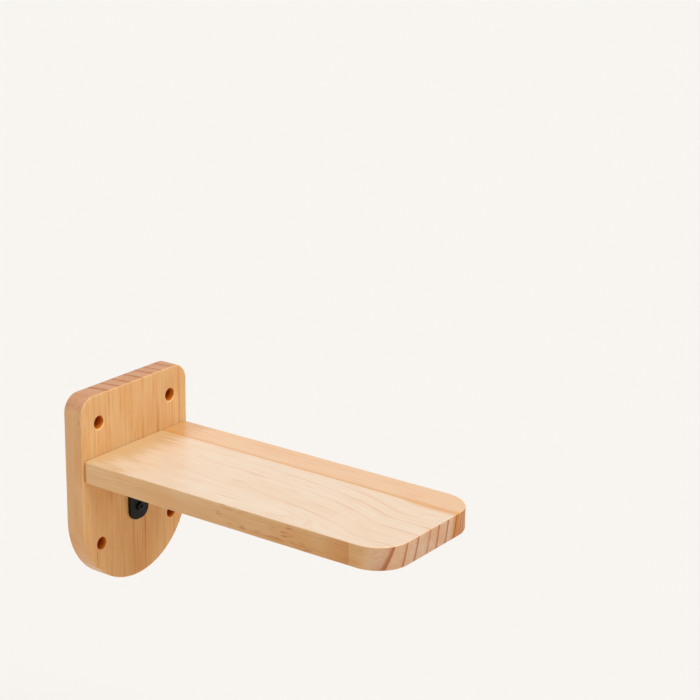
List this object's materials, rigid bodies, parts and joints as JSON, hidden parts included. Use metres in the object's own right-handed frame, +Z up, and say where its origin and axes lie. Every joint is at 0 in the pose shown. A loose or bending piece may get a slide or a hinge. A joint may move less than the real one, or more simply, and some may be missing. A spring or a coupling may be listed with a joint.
{
  "type": "cat wall shelf",
  "caption": "Pine wall step for a cat: a back plate with a half-round foot and pocketed screw holes carries a level board with rounded front corners, braced by a black steel angle.",
  "frame": {"origin": "centre of the four wall screw holes, on the back plate's rear face, which lies on the wall", "axes": "+Z up, +Y into the wall, +X along the wall; the shelf board stands out towards -Y"},
  "size_m": [0.13, 0.319, 0.1745],
  "materials": {
    "plate_pine": "clear satin lacquer on pine",
    "shelf_pine": "clear satin lacquer on pine",
    "bracket_black": "black powder coat on steel",
    "screw_black": "black oxide on steel",
    "screw_zinc": "zinc plate on steel",
    "dowel_beech": "plain beech"
  },
  "bodies": {
    "root": {"back_plate": "plate_pine", "shelf_board": "shelf_pine", "corner_bracket": "bracket_black", "bracket_screw_plate_upper": "screw_black", "bracket_screw_plate_lower": "screw_black", "bracket_screw_shelf_inner": "screw_black", "bracket_screw_shelf_outer": "screw_black", "rear_screw_left": "screw_zinc", "rear_screw_right": "screw_zinc", "dowel_left": "dowel_beech", "dowel_right": "dowel_beech"}
  },
  "joints": []
}
